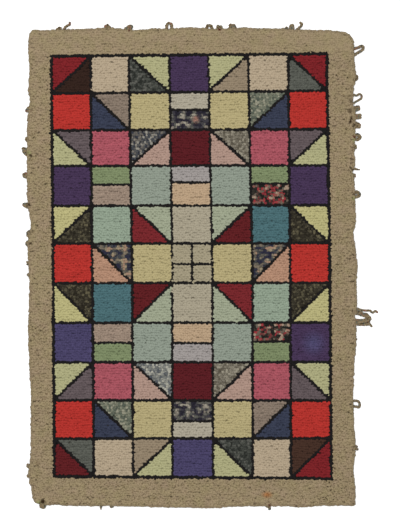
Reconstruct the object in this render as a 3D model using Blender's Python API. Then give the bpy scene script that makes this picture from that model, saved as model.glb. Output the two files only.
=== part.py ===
"""A hooked rug lying flat, with the loose ends of its edging yarn.

The cloth is one thick flat piece, hooked from edge to edge: its rim wanders in and out, is rounded where
the outermost loops lean over, and its crown is slightly uneven. The yarn ends that have worked loose lie
on the floor along the rim, each a strip of its own.

Metres, +Z up. The origin is the centre of the underside, +Y runs along the rug's length.
"""

import math

import bmesh
import bpy
from mathutils import Vector, geometry, noise

MM = 0.001

# The cloth
RUG_WIDTH = 850 * MM
RUG_LENGTH = 1240 * MM
RUG_THICKNESS = 9 * MM
HALF_WIDTH = RUG_WIDTH / 2
HALF_LENGTH = RUG_LENGTH / 2

# The rim's section, from the floor to the crown: how far in from the widest line, and how high
RIM_SECTION = [
    {"inset": 4.0 * MM, "height": 0.0 * MM},
    {"inset": 1.2 * MM, "height": 1.2 * MM},
    {"inset": 0.0 * MM, "height": 3.6 * MM},
    {"inset": 0.8 * MM, "height": 6.2 * MM},
    {"inset": 3.0 * MM, "height": 8.2 * MM},
    {"inset": 7.5 * MM, "height": RUG_THICKNESS},
]

# How far each side bulges out from the straight line, as (place along it from the rug's middle, out)
SIDE_BULGE = {
    "top": [
        (-382, -4), (-299, -2), (-220, 2), (-147, -3.5), (-87, 0), (0, 2.5), (62, -1),
        (130, 2), (221, 0), (274, -2.5), (320, -4), (370, -6), (398, -9),
    ],
    "right": [
        (-584, 0.5), (-527, -4.5), (-469, 1), (-417, -2.5), (-342, -5.5), (-269, -4), (-212, 1.5), (-90, 4),
        (-30, 3), (1, 6.5), (40, 1.5), (90, -5), (119, 1.5), (201, -1), (245, -5), (274, 0), (298, -2.5),
        (345, 1), (391, 2), (426, -6), (459, -5), (493, 2), (524, -1.5), (550, -3), (582, -4),
    ],
    "bottom": [
        (-400, -7), (-372, -3), (-345, -4.5), (-325, -1.5), (-252, -1.5), (-166, 0), (-33, 3.5), (55, 5),
        (105, 1), (155, 0), (237, -0.5), (287, 2), (354, -2), (420, -1),
    ],
    "left": [
        (-595, -12), (-538, -2), (-471, -8), (-312, -8), (-279, -5), (-162, -1), (-47, -4.5), (59, 1),
        (109, -8), (178, 1.5), (274, 2), (377, 1.5), (441, -6), (457, -1), (517, -4.5), (563, -1), (608, -3),
    ],
}

# Each corner's radius, and the sides that it joins, counter-clockwise from the bottom right
CORNERS = [
    {"radius": 5 * MM, "x": 1, "y": -1, "before": "bottom", "after": "right"},
    {"radius": 38 * MM, "x": 1, "y": 1, "before": "right", "after": "top"},
    {"radius": 12 * MM, "x": -1, "y": 1, "before": "top", "after": "left"},
    {"radius": 25 * MM, "x": -1, "y": -1, "before": "left", "after": "bottom"},
]
RIM_STEP = 10.5 * MM
CORNER_STEP = 5 * MM
CORNER_SPANS = 3
LEAST_RADIUS = 0.8 * MM

# Small ripple of the rim, and the low unevenness of the crown
RIPPLE_DEPTH = 1.1 * MM
RIPPLE_LENGTH = 14 * MM
CROWN_DEPTH = 0.5 * MM
CROWN_LENGTH = 130 * MM
CROWN_GRID = 45 * MM
CROWN_FADE = 60 * MM
SAME_POINT = 1e-7

# Loose strips of edging yarn: flat four-sided strands and lumps lying on the floor
STRAND_HEIGHT = 3.6 * MM
BACKING_WIDTH = 2.6 * MM
BACKING_STEP = 3.5 * MM
LEAST_STATION_GAP = 2 * MM
STEPS_PER_SPAN = 3

# A strand's root stands this far out from the furthest point of the rim near it
GAP = 0.45 * MM
NEAR_RIM = [step * MM for step in (-9, -6, -3, 0, 3, 6, 9)]

# A strand starts straight out from the rim or the backing, and a free tip ends straight
END_RUN = 1.6 * MM

# Each strand's width and its route in millimetres, as (along the side from its place, out from the rim).
# A lump narrows to its tip, which is this part of its width. A node with several strands has them grow
# from a narrow backing that runs along the rim.
LOOSE_YARN = {
    "loose_top_1": {
        "side": "top",
        "place": -330 * MM,
        "strands": [
            {"width": 5.6, "route": [(-1.5, 0), (1.5, 5), (6.5, 9), (11.5, 11), (14, 14.5), (13, 18)]},
        ],
    },
    "loose_top_2": {
        "side": "top",
        "place": -164 * MM,
        "strands": [{"width": 18, "tip": 0.4, "route": [(-0.5, 0), (2, 5), (4.5, 10)]}],
    },
    "loose_top_3": {
        "side": "top",
        "place": -58 * MM,
        "strands": [
            {"width": 6.6, "route": [(-6.5, 0), (-7, 6), (-4, 11.5), (2.5, 12.5), (6.3, 8), (5.5, 0)]},
        ],
    },
    "loose_top_4": {
        "side": "top",
        "place": 47 * MM,
        "strands": [
            {"width": 6.8, "route": [(-7.4, 0), (-6.2, 5.4), (-0.5, 8.6), (5, 5.4), (6, 0)]},
        ],
    },
    "loose_top_5": {
        "side": "top",
        "place": 107 * MM,
        "strands": [{"width": 18, "tip": 0.8, "route": [(0, 0), (-0.5, 5), (-0.5, 10)]}],
    },
    "loose_top_6": {
        "side": "top",
        "place": 281 * MM,
        "strands": [{"width": 5.6, "route": [(-6.5, 0), (-1, 5), (4.5, 10), (5, 15.5), (0.5, 18.5)]}],
    },
    "loose_right_1": {
        "side": "right",
        "place": 560 * MM,
        "strands": [
            {
                "width": 6.4,
                "route": [
                    (8, 0), (10, 6), (12, 13), (15.5, 18.5), (12, 24), (5, 22), (0, 14), (-4, 7), (-8, 0),
                ],
            },
        ],
    },
    "loose_right_2": {
        "side": "right",
        "place": 438 * MM,
        "strands": [
            {
                "width": 4.8,
                "route": [
                    (11, 0), (9, 5), (9, 10), (12.5, 15.5), (9, 21), (1, 20), (-4, 13), (-8, 6), (-12, 0),
                ],
            },
        ],
    },
    "loose_right_3": {
        "side": "right",
        "place": 391 * MM,
        "backing": (-31.5 * MM, 31.5 * MM),
        "strands": [
            {"width": 12, "tip": 0.7, "route": [(21.5, 2.6), (21.5, 7), (20.5, 13)]},
            {"width": 11.5, "tip": 0.7, "route": [(0.5, 2.6), (0.5, 6), (0, 11)]},
            {"width": 15, "tip": 0.7, "route": [(-21.5, 2.6), (-21.5, 6), (-23, 10)]},
        ],
    },
    "loose_right_4": {
        "side": "right",
        "place": 339 * MM,
        "strands": [
            {"width": 6.2, "route": [(4.8, 0), (5.2, 6.5), (-0.4, 11.8), (-6, 6.5), (-5.6, 0)]},
        ],
    },
    "loose_right_5": {
        "side": "right",
        "place": 187 * MM,
        "strands": [
            {
                "width": 6.6,
                "route": [(8, 0), (8.5, 5), (6.5, 9.5), (2.5, 11.5), (-1.5, 9.5), (-3, 5), (-3, 0)],
            },
        ],
    },
    "loose_right_6": {
        "side": "right",
        "place": -126 * MM,
        "backing": (-26 * MM, 23 * MM),
        "strands": [
            {
                "width": 4.8,
                "route": [(18, 2.6), (15.5, 11), (14, 22), (13.5, 34), (8.5, 41), (12.5, 48), (9, 54)],
            },
            {
                "width": 9,
                "route": [(7, 2.6), (6, 9), (3.5, 16.5), (0.5, 25), (-5.5, 33), (-15, 34.5), (-26, 38)],
            },
            {"width": 12, "tip": 0.8, "route": [(-16, 2.6), (-16, 8), (-15.5, 16), (-15.5, 25)]},
        ],
    },
    "loose_right_7": {
        "side": "right",
        "place": -355 * MM,
        "strands": [
            {"width": 5, "route": [(8, 0), (9, 8), (6, 16), (-1, 18.5), (-7.5, 14.5), (-6, 7), (-5, 0)]},
        ],
    },
    "loose_left_1": {
        "side": "left",
        "place": 300 * MM,
        "strands": [{"width": 18, "tip": 0.4, "route": [(-1, 0), (1, 5), (3, 10.5)]}],
    },
    "loose_left_2": {
        "side": "left",
        "place": 162 * MM,
        "strands": [{"width": 14, "tip": 0.5, "route": [(-1.5, 0), (-0.5, 5), (0.5, 10.5)]}],
    },
}

# Each side's outward direction, and the direction in which its places are counted
SIDES = {
    "top": {"out": Vector((0, 1)), "along": Vector((1, 0)), "reach": HALF_LENGTH, "span": RUG_WIDTH},
    "right": {"out": Vector((1, 0)), "along": Vector((0, 1)), "reach": HALF_WIDTH, "span": RUG_LENGTH},
    "bottom": {"out": Vector((0, -1)), "along": Vector((1, 0)), "reach": HALF_LENGTH, "span": RUG_WIDTH},
    "left": {"out": Vector((-1, 0)), "along": Vector((0, 1)), "reach": HALF_WIDTH, "span": RUG_LENGTH},
}

MATERIALS = {
    "hooked_pile": {"colour": (0.33, 0.27, 0.18), "roughness": 0.95},
    "loose_yarn": {"colour": (0.27, 0.21, 0.14), "roughness": 0.95},
}


def clear_scene():
    """Removes whatever the scene holds."""
    for obj in list(bpy.data.objects):
        bpy.data.objects.remove(obj, do_unlink=True)


def make_material(name):
    """A plain Principled material from the table of finishes."""
    finish = MATERIALS[name]
    material = bpy.data.materials.new(name)
    material.use_nodes = True
    shader = material.node_tree.nodes["Principled BSDF"]
    shader.inputs["Base Color"].default_value = (*finish["colour"], 1)
    shader.inputs["Roughness"].default_value = finish["roughness"]
    shader.inputs["Metallic"].default_value = 0
    return material


def smooth_curve(points, steps):
    """A smooth curve through the points, whose first and last spans stay straight."""
    curve = [points[0]]
    for i in range(1, len(points) - 2):
        before, start, end, after = points[i - 1 : i + 3]
        for step in range(steps):
            t = step / steps
            curve.append(
                0.5
                * (
                    2 * start
                    + (end - before) * t
                    + (2 * before - 5 * start + 4 * end - after) * t**2
                    + (3 * start - 3 * end + after - before) * t**3
                )
            )
    return curve + points[-2:]


def bulge(side, along):
    """How far the rim stands out from the side's straight line, at a place along it."""
    stations = [(place * MM, out * MM) for place, out in SIDE_BULGE[side]]
    if along <= stations[0][0]:
        return stations[0][1]
    for (start, start_out), (end, end_out) in zip(stations, stations[1:]):
        if along <= end:
            t = (along - start) / (end - start)
            eased = t * t * (3 - 2 * t)
            return start_out + (end_out - start_out) * eased
    return stations[-1][1]


def ripple(point):
    """The small in and out of the rim where single loops stand proud."""
    return RIPPLE_DEPTH * noise.noise(Vector((point.x, point.y, 0)) / RIPPLE_LENGTH)


def rim_point(side, along, inset):
    """A point on a side of the rim, as far in from its widest line as the inset says."""
    facts = SIDES[side]
    straight = facts["out"] * facts["reach"] + facts["along"] * along
    return straight + facts["out"] * (bulge(side, along) + ripple(straight) - inset)


def corner_facts(corner, inset):
    """A corner's radius and centre, both drawn in by an inset."""
    radius = max(corner["radius"] - inset, LEAST_RADIUS)
    reach = radius + inset
    return radius, Vector((corner["x"] * (HALF_WIDTH - reach), corner["y"] * (HALF_LENGTH - reach)))


def corner_points(corner, inset):
    """Rim points round a corner, between the ends of its two sides."""
    radius, centre = corner_facts(corner, inset)
    first, last = SIDES[corner["before"]], SIDES[corner["after"]]
    first_out = bulge(corner["before"], centre.dot(first["along"]))
    last_out = bulge(corner["after"], centre.dot(last["along"]))
    count = max(CORNER_SPANS, round(corner["radius"] * math.pi / 2 / CORNER_STEP))
    points = []
    for i in range(1, count):
        turn = i / count * math.pi / 2
        across = first["out"] * math.cos(turn) + last["out"] * math.sin(turn)
        bulged = first["out"] * first_out * math.cos(turn) + last["out"] * last_out * math.sin(turn)
        points.append(centre + across * radius + bulged)
    return points


def side_points(side, start, end, inset):
    """Rim points along a side, from one place to another."""
    count = round(SIDES[side]["span"] / RIM_STEP)
    return [rim_point(side, start + (end - start) * i / count, inset) for i in range(count + 1)]


def rim_outline(inset):
    """The rug's outline seen from above, counter-clockwise from the bottom right corner."""
    outline = []
    for corner, following in zip(CORNERS, CORNERS[1:] + CORNERS[:1]):
        side = corner["after"]
        centres = [corner_facts(facts, inset)[1] for facts in (corner, following)]
        start, end = (centre.dot(SIDES[side]["along"]) for centre in centres)
        outline += corner_points(corner, inset)
        outline += side_points(side, start, end, inset)
    return outline


def crown_height(point):
    """The height of the loops' tops, which wander a little away from the rim."""
    edge = min(HALF_WIDTH - abs(point.x), HALF_LENGTH - abs(point.y))
    fade = min(1, max(0, edge / CROWN_FADE))
    return RUG_THICKNESS + fade * CROWN_DEPTH * noise.noise(Vector((point.x, point.y, 0)) / CROWN_LENGTH)


def crown_points():
    """Points inside the rim that carry the crown's unevenness."""
    across = int((HALF_WIDTH - CROWN_GRID / 2) / CROWN_GRID)
    down = int((HALF_LENGTH - CROWN_GRID / 2) / CROWN_GRID)
    return [
        Vector((i * CROWN_GRID, j * CROWN_GRID))
        for i in range(-across, across + 1)
        for j in range(-down, down + 1)
    ]


def make_rug(material):
    """The whole cloth as one closed solid: a flat underside, a rounded rim and an uneven crown."""
    mesh = bmesh.new()
    rings = []
    for level in RIM_SECTION:
        outline = rim_outline(level["inset"])
        rings.append([mesh.verts.new((point.x, point.y, level["height"])) for point in outline])
    count = len(rings[0])
    for lower, upper in zip(rings, rings[1:]):
        for i in range(count):
            j = (i + 1) % count
            mesh.faces.new((lower[i], lower[j], upper[j], upper[i]))
    mesh.faces.new(reversed(rings[0]))
    fill_crown(mesh, rings[-1])
    finish_object("rug", mesh, material)


def fill_crown(mesh, ring):
    """Closes the top inside the last ring, with triangles over the crown's points."""
    count = len(ring)
    flat = [vert.co.xy for vert in ring] + crown_points()
    edges = [(i, (i + 1) % count) for i in range(count)]
    inside_only = 1
    places, _, triangles, sources, _, _ = geometry.delaunay_2d_cdt(flat, edges, [], inside_only, SAME_POINT)
    corners = []
    for place, source in zip(places, sources):
        if source and source[0] < count:
            corners.append(ring[source[0]])
        else:
            corners.append(mesh.verts.new((place.x, place.y, crown_height(place))))
    for triangle in triangles:
        mesh.faces.new([corners[i] for i in triangle])


def is_root(point):
    """Whether a route's end point, as (along, out), lies at the rim or on the backing's outer side."""
    return point[1] * MM <= BACKING_WIDTH


def straight_ends(route):
    """The route in metres, with a short straight run at each end: out from the rim, or past a free tip."""
    points = [Vector(point) * MM for point in route]
    leave = points[0] - points[1]
    arrive = points[-1] - points[-2]
    outward = Vector((0, END_RUN))
    if is_root(route[0]):
        points.insert(1, points[0] + outward)
    else:
        points.insert(0, points[0] + leave.normalized() * END_RUN)
    if is_root(route[-1]):
        points.insert(-1, points[-1] + outward)
    else:
        points.append(points[-1] + arrive.normalized() * END_RUN)
    return points


def floor_points(side, place, points):
    """Points given as (along, out) from a place on a side, set on the floor just clear of the rim."""
    facts = SIDES[side]
    placed = []
    for along, out in points:
        near = max(rim_point(side, place + along + step, 0).dot(facts["out"]) for step in NEAR_RIM)
        flat = facts["along"] * (place + along) + facts["out"] * (near + GAP + out)
        placed.append(flat.to_3d())
    return placed


def section_over(low, high):
    """A section's four corners, from the two on the floor."""
    top = Vector((0, 0, STRAND_HEIGHT))
    return (low, high, high + top, low + top)


def strand_sections(side, place, strand):
    """The sections of an even strand, square to its route."""
    curve = smooth_curve(floor_points(side, place, straight_ends(strand["route"])), STEPS_PER_SPAN)
    sections = []
    for i, point in enumerate(curve):
        run = (curve[min(i + 1, len(curve) - 1)] - curve[max(i - 1, 0)]).xy.normalized()
        beside = Vector((run.y, -run.x, 0)) * strand["width"] * MM / 2
        sections.append(section_over(point - beside, point + beside))
    return sections


def lump_sections(side, place, strand):
    """The sections of a lump, which lie along the rim and narrow to its tip."""
    curve = smooth_curve(straight_ends(strand["route"]), STEPS_PER_SPAN)
    sections = []
    for i, (along, out) in enumerate(curve):
        narrowing = (1 - strand["tip"]) * i / (len(curve) - 1)
        half = strand["width"] * MM / 2 * (1 - narrowing)
        low, high = floor_points(side, place, [(along - half, out), (along + half, out)])
        sections.append(section_over(low, high))
    return sections


def new_ring(mesh, section):
    """New vertices at a section's corners."""
    return [mesh.verts.new(corner) for corner in section]


def root_ring(section, backing, outward):
    """The backing's own vertices that are in line with a section's corners."""
    return [min(backing, key=lambda vert: (vert.co - corner).cross(outward).length) for corner in section]


def bridge_rings(mesh, rings):
    """A strip of faces between each ring and the next."""
    for first, second in zip(rings, rings[1:]):
        for i in range(4):
            j = (i + 1) % 4
            mesh.faces.new((first[i], first[j], second[j], second[i]))


def close_end(mesh, ring):
    """Caps a free end; where the ring is the backing's own, opens the backing instead."""
    shared = mesh.faces.get(ring)
    if shared:
        mesh.faces.remove(shared)
    else:
        mesh.faces.new(ring)


def backing_stations(facts):
    """Places along the backing where it has a section: evenly spaced, and at both edges of each root."""
    roots = []
    for strand in facts["strands"]:
        at, half = strand["route"][0][0] * MM, strand["width"] * MM / 2
        roots.append((at - half, at + half))
    start, end = facts["backing"]
    count = round((end - start) / BACKING_STEP)
    even = [start + (end - start) * i / count for i in range(count + 1)]
    gap = LEAST_STATION_GAP
    clear = [at for at in even if all(at < low - gap or at > high + gap for low, high in roots)]
    return sorted(clear + [edge for root in roots for edge in root])


def make_backing(mesh, side, place, facts):
    """The narrow strip beside the rim that holds the roots of several strands. Gives its outer vertices."""
    rings = []
    for at in backing_stations(facts):
        inner, outer = floor_points(side, place, [(at, 0), (at, BACKING_WIDTH)])
        rings.append(new_ring(mesh, section_over(inner, outer)))
    bridge_rings(mesh, rings)
    mesh.faces.new(rings[0])
    mesh.faces.new(rings[-1])
    return [vert for ring in rings for vert in ring[1:3]]


def make_loose_yarn(name, facts, material):
    """One node of loose yarn: a lone strand or lump, or several that grow from their backing."""
    side, place = facts["side"], facts["place"]
    mesh = bmesh.new()
    backing = make_backing(mesh, side, place, facts) if "backing" in facts else []
    for strand in facts["strands"]:
        shape = lump_sections if "tip" in strand else strand_sections
        root, *further = shape(side, place, strand)
        first = root_ring(root, backing, SIDES[side]["out"].to_3d()) if backing else new_ring(mesh, root)
        rings = [first] + [new_ring(mesh, section) for section in further]
        bridge_rings(mesh, rings)
        close_end(mesh, rings[0])
        close_end(mesh, rings[-1])
    bmesh.ops.recalc_face_normals(mesh, faces=mesh.faces)
    finish_object(name, mesh, material)


def finish_object(name, mesh, material):
    """Links a bmesh to the scene as an object, shaded smooth but for its sharp edges."""
    data = bpy.data.meshes.new(name)
    mesh.to_mesh(data)
    mesh.free()
    data.materials.append(material)
    data.shade_smooth()
    data.set_sharp_from_angle(angle=math.radians(50))
    bpy.context.scene.collection.objects.link(bpy.data.objects.new(name, data))


def main():
    clear_scene()
    pile, yarn = make_material("hooked_pile"), make_material("loose_yarn")
    make_rug(pile)
    for name, facts in LOOSE_YARN.items():
        make_loose_yarn(name, facts, yarn)


main()
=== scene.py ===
"""Looks of the hooked rug: every loop of its pile, its foundation cloth and the loose ends of its yarn.

The pile is laid as it is hooked on the real rug: dark outlines first, then each patch in rows of loops of
its own yarn, and the border last. Each yarn is a mesh of its own with its own wool material. The loops go
through the foundation cloth, so their flat backs show underneath.

Metres, in the frame of the CAD model. Tables in millimetres are scaled where they are used.
"""

import math

import bpy
import numpy as np
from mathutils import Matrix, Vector, noise

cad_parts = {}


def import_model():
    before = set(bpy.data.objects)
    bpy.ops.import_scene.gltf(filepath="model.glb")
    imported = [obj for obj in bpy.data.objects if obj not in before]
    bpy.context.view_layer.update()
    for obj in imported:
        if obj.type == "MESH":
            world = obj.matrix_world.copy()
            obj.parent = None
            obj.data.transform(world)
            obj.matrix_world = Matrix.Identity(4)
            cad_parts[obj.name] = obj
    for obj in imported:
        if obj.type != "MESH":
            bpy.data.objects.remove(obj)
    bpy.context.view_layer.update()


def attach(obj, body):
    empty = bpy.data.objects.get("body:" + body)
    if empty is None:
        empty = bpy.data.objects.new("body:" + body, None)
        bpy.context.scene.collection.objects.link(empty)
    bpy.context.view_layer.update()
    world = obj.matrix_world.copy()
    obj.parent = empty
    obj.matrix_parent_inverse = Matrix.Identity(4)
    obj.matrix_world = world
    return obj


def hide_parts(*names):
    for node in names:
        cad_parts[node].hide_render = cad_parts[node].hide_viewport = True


MM = 0.001

# The photograph's framing: metres to its height, and where its centre lies from the rug's
FRAME_HEIGHT = 1.3806
FRAME_CENTRE = (22 * MM, 5 * MM)
CAMERA_LENS = 85
CAMERA_SENSOR = 36

# The rug's size and outline, as in the CAD model but for a rounder top left corner. A side's bulge lists, in
# millimetres, places along it and how far it stands out there.
HALF_WIDTH = 425 * MM
HALF_LENGTH = 620 * MM
SIDE_BULGE = {
    "top": [
        (-382, -4), (-299, -2), (-220, 2), (-147, -3.5), (-87, 0), (0, 2.5), (62, -1),
        (130, 2), (221, 0), (274, -2.5), (320, -4), (370, -6), (398, -9),
    ],
    "right": [
        (-584, 0.5), (-527, -4.5), (-469, 1), (-417, -2.5), (-342, -5.5), (-269, -4), (-212, 1.5), (-90, 4),
        (-30, 3), (1, 6.5), (40, 1.5), (90, -5), (119, 1.5), (201, -1), (245, -5), (274, 0), (298, -2.5),
        (345, 1), (391, 2), (426, -6), (459, -5), (493, 2), (524, -1.5), (550, -3), (582, -4),
    ],
    "bottom": [
        (-400, -7), (-372, -3), (-345, -4.5), (-325, -1.5), (-252, -1.5), (-166, 0), (-33, 3.5), (55, 5),
        (105, 1), (155, 0), (237, -0.5), (287, 2), (354, -2), (420, -1),
    ],
    "left": [
        (-595, -12), (-538, -2), (-471, -8), (-312, -8), (-279, -5), (-162, -1), (-47, -4.5), (59, 1),
        (109, -8), (178, 1.5), (274, 2), (377, 1.5), (441, -6), (457, -1), (517, -4.5), (563, -1), (608, -3),
    ],
}
CORNERS = [
    {"radius": 5 * MM, "x": 1, "y": -1, "before": "bottom", "after": "right"},
    {"radius": 38 * MM, "x": 1, "y": 1, "before": "right", "after": "top"},
    {"radius": 17 * MM, "x": -1, "y": 1, "before": "top", "after": "left"},
    {"radius": 25 * MM, "x": -1, "y": -1, "before": "left", "after": "bottom"},
]
SIDES = {
    "top": {"out": Vector((0, 1)), "along": Vector((1, 0)), "reach": HALF_LENGTH},
    "right": {"out": Vector((1, 0)), "along": Vector((0, 1)), "reach": HALF_WIDTH},
    "bottom": {"out": Vector((0, -1)), "along": Vector((1, 0)), "reach": HALF_LENGTH},
    "left": {"out": Vector((-1, 0)), "along": Vector((0, 1)), "reach": HALF_WIDTH},
}
RIM_STEP = 2.5 * MM
LEAST_RADIUS = 0.8 * MM
RIPPLE_DEPTH = 1.1 * MM
RIPPLE_LENGTH = 14 * MM

# Holes worn into the rim, in millimetres: (place along the side, half its width, how far it reaches in)
NOTCHES = {"top": [(-58, 3.5, 6.5), (46, 3, 2.5)], "right": [(-127.5, 6.5, 6), (247, 3, 4.5)]}

# The foundation cloth: its underside and upper side, and how far it stays in from the rim
CLOTH_FOOT = 0.4 * MM
CLOTH_TOP = 3.2 * MM
CLOTH_INSET = 3.5 * MM
THREAD_PITCH = 1.9 * MM

# The pile. A loop is as long and wide as its share of the row, and a little over, so that loops crowd.
SEED = 11
ROW_PITCH = 6 * MM
LOOP_PITCH = 4.9 * MM
CROWD_ALONG = 1.72
CROWD_ACROSS = 1.76
LOOP_BACK = 0.1 * MM
LOOP_CROWN = 8.8 * MM
TONE_OF_ROW = 0.35
CROWN_SPREAD = 0.4 * MM
LEAN_SPREAD = 0.5 * MM
LENGTH_SPREAD = 0.12
END_SPREAD = 1.1 * MM
CORNER_SPREAD = 0.2 * MM
WANDER_DEPTH = 3.2 * MM
WANDER_LENGTH = 26 * MM
SWELL_DEPTH = 0.45 * MM
SWELL_LENGTH = 110 * MM
LEAST_ROW = 2.4 * MM

# How far loops stray across their row, how much their widths differ, how far they turn in radians, and how
# full they are
PILE_RAGGED = {"stray": 0.95 * MM, "widths": 0.13, "turn": 0.45, "full": 1}
OUTLINE_RAGGED = {"stray": 0.95 * MM, "widths": 0.2, "turn": 0.25, "full": 0.97}
BORDER_RAGGED = {"stray": 1.0 * MM, "widths": 0.14, "turn": 0.55, "full": 1}
WORN_RAGGED = {"stray": 1.3 * MM, "widths": 0.18, "turn": 0.8, "full": 0.97}
EDGE_RAGGED = {"stray": 0.4 * MM, "widths": 0.1, "turn": 0.15, "full": 0.9}

# One loop, as (along, across, up) in parts of its half size: back, shoulder and the ridge of its crown
BACK_REACH = 0.62
SHOULDER = [(1, 0.7), (0, 1), (-1, 0.7), (-1, -0.7), (0, -1), (1, -0.7)]
SHOULDER_UP = 0.69
RIDGE_REACH = 0.45

# Where a loop's top and its back lie in its square of the texture
MAP_SKIRT = 0.44
MAP_CROWN = 0.33
MAP_SHAPE = (1, 0.86)
MAP_MIDDLE = (0.46, 0.54)
MAP_BACK = 0.05
MAP_BACK_MIDDLE = (0.93, 0.07)

# The edge row that runs round the whole rim, leaning outwards
EDGE_INSET = 3.6 * MM
EDGE_WIDTH = 5 * MM
EDGE_CROWN = 8.0 * MM
EDGE_LEAN = 0.6 * MM
BORDER_INSET = 5.2 * MM
CLIP_INSET = 7 * MM

# The border's bottom right corner, where the loops are long and lie askew
SKEW_BOX = {"left": 334 * MM, "right": 412 * MM, "bottom": -612 * MM, "top": -552 * MM}
SKEW_TURN = -0.55
SKEW_LENGTH = 1.3
SKEW_WIDTH = 0.62

# Dirty spots near the rim, as (x, y, radius, strength) in millimetres. A red one has a strength below zero.
SPOTS = [
    (-417, 290, 5, 1.4), (-415, 407, 3.5, -1), (-421, 455, 2.6, 0.5), (-421, 163, 5, 1.4),
    (-419, 63, 4, 1.4), (-417, 90, 3, 0.6), (-386, -607, 7, 1.6), (-368, -612, 3, 1),
    (-354, -612, 3.5, 1), (-345, -611.5, 3, 1), (-288, -614, 2.5, 1), (-236, -618, 3, 1),
    (163.5, -613, 3.5, 1), (202, -617.6, 5, -1.2), (272, -618, 3.5, 1), (414, 432, 8, 0.6),
    (411, 406, 8, 0.8), (414, 387, 5, 1.4), (412, 378, 5, 1.4), (422, 369, 4, 1.4),
    (422, 339, 4, -1.5), (418, 312, 3.5, 1.2), (416, 281, 4, 1.2), (414, 271, 3.5, 1),
    (419, 253, 4, 1.2), (420, 190, 3.5, 1), (420, 161, 3.5, 0.6), (418, -111.5, 4, 1.2),
    (413, -354.6, 4, 1.2), (421, -466, 3, 1), (-328, 618, 4, 1.2), (-220, 619, 3.5, 1),
    (-162, 617, 5, -1.2), (-87, 615, 3, 1), (73, 618, 4.5, -1.5), (179, 621, 3, 0.6),
]
SPOT_CORE = 2.2
# How far the whole edge row is mixed towards the dark spots' colour, so that it is a little darker and
# browner
EDGE_DARKENING = 0.15

# Where the border's rim has a green cast, in millimetres, and how far that reaches
GREEN_PLACES = [(-422, 298), (423, 330), (421, 179), (-397, -610)]
GREEN_REACH = 9 * MM

# The dark outlines, in millimetres from the rug's centre: each upright's x at the field's top, middle and
# bottom, and each level's y at the field's left and right
FIELD_TOP = 550 * MM
FIELD_SIDE = 360 * MM
UPRIGHTS = [
    {"at": (-363.5, -359, -355.5), "width": 8.4}, {"at": (-262, -257.5, -253), "width": 8},
    {"at": (-163, -154, -151.5), "width": 7.4}, {"at": (-57.5, -50, -49.5), "width": 6.8},
    {"at": (43.5, 54, 56), "width": 6.8}, {"at": (146.5, 158, 159), "width": 7.4},
    {"at": (251, 256, 258), "width": 8}, {"at": (350.5, 359, 362.5), "width": 8.4},
]
LEVELS = [
    {"at": (548, 554.5), "width": 8.2}, {"at": (451, 458.5), "width": 7.4},
    {"at": (355.5, 359), "width": 7.4}, {"at": (263, 265), "width": 7},
    {"at": (159.5, 161.5), "width": 7}, {"at": (61.5, 63), "width": 6.8},
    {"at": (-41, -39.5), "width": 6.8}, {"at": (-144, -143), "width": 7},
    {"at": (-246.5, -245.5), "width": 7}, {"at": (-345, -345), "width": 7.4},
    {"at": (-444.5, -443), "width": 7.4}, {"at": (-542, -547.5), "width": 8.2},
]
SLOPE_WIDTH = 7.6 * MM
SPLIT_WIDTH = 6.6 * MM
CROSS_WIDTH = 6 * MM
OUTLINE_PITCH = 4.4 * MM
OUTLINE_WANDER = 0.7 * MM
SLOPE_WANDER = 1.5

# Where a loop of a dark outline is missing and a pale one shows, as (x, y, yarn) in millimetres
OUTLINE_GAPS = [
    (-50.5, 20, "dove"), (-50.5, 15.5, "dove"), (-50, -7, "dove"), (-50, -33, "dove"), (-50, -53, "greige"),
    (-50, -63, "greige"), (3, 46, "dove"), (56, 18.5, "dove"), (3, -38, "dove"),
]
GAP_REACH = 2.4 * MM

# The pattern, block by block from the top left. A plain block names its yarn. "/" and "\\" are slopes, "="
# a level split, each with the yarn above it and the yarn below it, and the split with how far up it lies
# from the block's middle, in millimetres. "+" is four small squares, with how far up its level line lies.
CHART = [
    [
        ("/", "crimson", "bitter"), "oatmeal", ("\\", "lime", "charcoal"), "purple",
        ("/", "lime", "taupe"), "oatmeal", ("\\", "crimson", "slate"),
    ],
    [
        "scarlet", ("\\", "stone", "navy"), "khaki", ("=", "cream", "night", 2.6),
        "khaki", ("/", "moss", "navy"), "scarlet",
    ],
    [
        ("\\", "mauve", "lime"), "rose", ("/", "storm", "blush"), "wine",
        ("\\", "pepper", "blush"), "rose", ("/", "mauve", "lime"),
    ],
    [
        "purple", ("=", "leaf", "clay", 2.5), "mist", ("=", "lilac", "peach", 8.3),
        "mist", ("=", "leaf", "ember", 5), "purple",
    ],
    [
        ("/", "straw", "bark"), "mint", ("\\", "sage", "garnet"), "greige",
        ("/", "sage", "maroon"), "teal", ("\\", "straw", "bark"),
    ],
    [
        "scarlet", ("\\", "dusk", "salmon"), "khaki", ("+", "dove", -2.7),
        "khaki", ("/", "dusk", "salmon"), "scarlet",
    ],
    [
        ("\\", "bark", "straw"), "teal", ("/", "maroon", "sage"), "greige",
        ("\\", "garnet", "sage"), "mint", ("/", "bark", "straw"),
    ],
    [
        "indigo", ("=", "clay", "leaf", -1), "mist", ("=", "peach", "lilac", -2),
        "mist", ("=", "ember", "leaf", 2.5), "purple",
    ],
    [
        ("/", "lime", "mauve"), "rose", ("\\", "gale", "blush"), "wine",
        ("/", "pepper", "blush"), "rose", ("\\", "lime", "mauve"),
    ],
    [
        "scarlet", ("\\", "moss", "navy"), "khaki", ("=", "night", "cream", -4.7),
        "khaki", ("/", "stone", "navy"), "scarlet",
    ],
    [
        ("\\", "slate", "maroon"), "oatmeal", ("/", "taupe", "lime"), "indigo",
        ("\\", "charcoal", "lime"), "oatmeal", ("/", "brown", "crimson"),
    ],
]

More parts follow.
